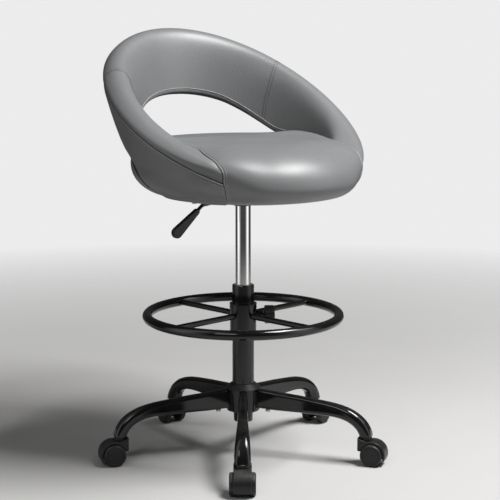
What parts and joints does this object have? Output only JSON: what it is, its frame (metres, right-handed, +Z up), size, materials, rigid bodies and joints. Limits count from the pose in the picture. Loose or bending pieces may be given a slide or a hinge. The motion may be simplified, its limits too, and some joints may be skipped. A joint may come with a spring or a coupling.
{
  "type": "drafting chair",
  "caption": "Tall drafting chair: round bucket seat with an open wrap-round padded back on a gas lift, with an adjustable foot ring and a star base on casters.",
  "frame": {"origin": "on the floor under the column axis", "axes": "+Z up along the column, the seat faces -Y, +X is the sitter's left"},
  "size_m": [0.6558, 0.625, 0.9713],
  "materials": {
    "black_steel": "gloss black powder coat",
    "chrome": "bright chrome",
    "plain_steel": "zinc plated",
    "black_plastic": "satin moulded nylon",
    "wheel_plastic": "satin moulded nylon",
    "bush_plastic": "moulded acetal",
    "board_wood": "plywood under black cloth",
    "grey_upholstery": "satin coated fabric over foam"
  },
  "bodies": {
    "base": {"base_hub": "black_steel", "base_leg_1": "black_steel", "base_leg_2": "black_steel", "base_leg_3": "black_steel", "base_leg_4": "black_steel", "base_leg_5": "black_steel", "leg_bolts": "plain_steel", "caster_sockets": "black_plastic", "hub_cap": "black_plastic", "column_tube": "black_steel", "guide_bush": "bush_plastic", "thrust_bearing": "plain_steel"},
    "rod": {"piston_rod": "plain_steel", "rod_clip": "plain_steel"},
    "seat": {"gas_cylinder": "chrome", "release_pin": "plain_steel", "seat_plate": "black_steel", "lever_pivot": "plain_steel", "seat_board": "board_wood", "plate_bolts": "plain_steel", "frame_bolts": "plain_steel", "back_frame": "black_steel", "backrest_cushion": "grey_upholstery", "seat_cushion": "grey_upholstery"},
    "lever": {"lever_rod": "black_steel", "lever_grip": "black_plastic"},
    "foot_ring": {"foot_ring": "black_steel", "foot_spoke_1": "black_steel", "foot_spoke_2": "black_steel", "foot_spoke_3": "black_steel", "foot_spoke_4": "black_steel", "foot_hub": "black_steel", "foot_sleeve": "black_plastic"},
    "knob": {"clamp_knob": "black_plastic"},
    "caster_1": {"caster_1_hood": "black_plastic", "caster_1_stem": "plain_steel", "caster_1_axle": "plain_steel"},
    "caster_1_wheel_left": {"caster_1_wheel_left": "wheel_plastic"},
    "caster_1_wheel_right": {"caster_1_wheel_right": "wheel_plastic"},
    "caster_2": {"caster_2_hood": "black_plastic", "caster_2_stem": "plain_steel", "caster_2_axle": "plain_steel"},
    "caster_2_wheel_left": {"caster_2_wheel_left": "wheel_plastic"},
    "caster_2_wheel_right": {"caster_2_wheel_right": "wheel_plastic"},
    "caster_3": {"caster_3_hood": "black_plastic", "caster_3_stem": "plain_steel", "caster_3_axle": "plain_steel"},
    "caster_3_wheel_left": {"caster_3_wheel_left": "wheel_plastic"},
    "caster_3_wheel_right": {"caster_3_wheel_right": "wheel_plastic"},
    "caster_4": {"caster_4_hood": "black_plastic", "caster_4_stem": "plain_steel", "caster_4_axle": "plain_steel"},
    "caster_4_wheel_left": {"caster_4_wheel_left": "wheel_plastic"},
    "caster_4_wheel_right": {"caster_4_wheel_right": "wheel_plastic"},
    "caster_5": {"caster_5_hood": "black_plastic", "caster_5_stem": "plain_steel", "caster_5_axle": "plain_steel"},
    "caster_5_wheel_left": {"caster_5_wheel_left": "wheel_plastic"},
    "caster_5_wheel_right": {"caster_5_wheel_right": "wheel_plastic"}
  },
  "joints": [
    {"name": "seat_swivel", "type": "hinge", "parent": "base", "child": "rod", "pos_m": [0, 0, 0.087], "axis": [0, 0, 1], "continuous": true},
    {"name": "seat_height", "type": "slide", "parent": "rod", "child": "seat", "axis": [0, 0, 1], "range_m": [-0.13, 0.02]},
    {"name": "lever_lift", "type": "hinge", "parent": "seat", "child": "lever", "pos_m": [-0.03, 0, 0.5945], "axis": [0, 1, 0], "range_deg": [0, 6], "stiffness_Nm_per_rad": 4, "springref_deg": -6.88},
    {"name": "foot_ring_height", "type": "slide", "parent": "base", "child": "foot_ring", "axis": [0, 0, 1], "range_m": [-0.11, 0.03]},
    {"name": "clamp_knob_turn", "type": "hinge", "parent": "foot_ring", "child": "knob", "pos_m": [0.04187, -0.02546, 0.324], "axis": [0.8545, -0.5195, 0], "range_deg": [0, 270]},
    {"name": "caster_1_swivel", "type": "hinge", "parent": "base", "child": "caster_1", "pos_m": [-0.17257, -0.23493, 0.0647], "axis": [0, 0, 1], "continuous": true},
    {"name": "caster_1_wheel_left_spin", "type": "hinge", "parent": "caster_1", "child": "caster_1_wheel_left", "pos_m": [-0.18234, -0.24823, 0.025], "axis": [0.8059, -0.592, 0], "continuous": true},
    {"name": "caster_1_wheel_right_spin", "type": "hinge", "parent": "caster_1", "child": "caster_1_wheel_right", "pos_m": [-0.18234, -0.24823, 0.025], "axis": [0.8059, -0.592, 0], "continuous": true},
    {"name": "caster_2_swivel", "type": "hinge", "parent": "base", "child": "caster_2", "pos_m": [0.1701, -0.23672, 0.0647], "axis": [0, 0, 1], "continuous": true},
    {"name": "caster_2_wheel_left_spin", "type": "hinge", "parent": "caster_2", "child": "caster_2_wheel_left", "pos_m": [0.17973, -0.25012, 0.025], "axis": [0.8121, 0.5835, 0], "continuous": true},
    {"name": "caster_2_wheel_right_spin", "type": "hinge", "parent": "caster_2", "child": "caster_2_wheel_right", "pos_m": [0.17973, -0.25012, 0.025], "axis": [0.8121, 0.5835, 0], "continuous": true},
    {"name": "caster_3_swivel", "type": "hinge", "parent": "base", "child": "caster_3", "pos_m": [0.2777, 0.08863, 0.0647], "axis": [0, 0, 1], "continuous": true},
    {"name": "caster_3_wheel_left_spin", "type": "hinge", "parent": "caster_3", "child": "caster_3_wheel_left", "pos_m": [0.29342, 0.09364, 0.025], "axis": [-0.304, 0.9527, 0], "continuous": true},
    {"name": "caster_3_wheel_right_spin", "type": "hinge", "parent": "caster_3", "child": "caster_3_wheel_right", "pos_m": [0.29342, 0.09364, 0.025], "axis": [-0.304, 0.9527, 0], "continuous": true},
    {"name": "caster_4_swivel", "type": "hinge", "parent": "base", "child": "caster_4", "pos_m": [0.00153, 0.2915, 0.0647], "axis": [0, 0, 1], "continuous": true},
    {"name": "caster_4_wheel_left_spin", "type": "hinge", "parent": "caster_4", "child": "caster_4_wheel_left", "pos_m": [0.00161, 0.308, 0.025], "axis": [-1, 0.0052, 0], "continuous": true},
    {"name": "caster_4_wheel_right_spin", "type": "hinge", "parent": "caster_4", "child": "caster_4_wheel_right", "pos_m": [0.00161, 0.308, 0.025], "axis": [-1, 0.0052, 0], "continuous": true},
    {"name": "caster_5_swivel", "type": "hinge", "parent": "base", "child": "caster_5", "pos_m": [-0.27676, 0.09153, 0.0647], "axis": [0, 0, 1], "continuous": true},
    {"name": "caster_5_wheel_left_spin", "type": "hinge", "parent": "caster_5", "child": "caster_5_wheel_left", "pos_m": [-0.29242, 0.09671, 0.025], "axis": [-0.314, -0.9494, 0], "continuous": true},
    {"name": "caster_5_wheel_right_spin", "type": "hinge", "parent": "caster_5", "child": "caster_5_wheel_right", "pos_m": [-0.29242, 0.09671, 0.025], "axis": [-0.314, -0.9494, 0], "continuous": true}
  ]
}
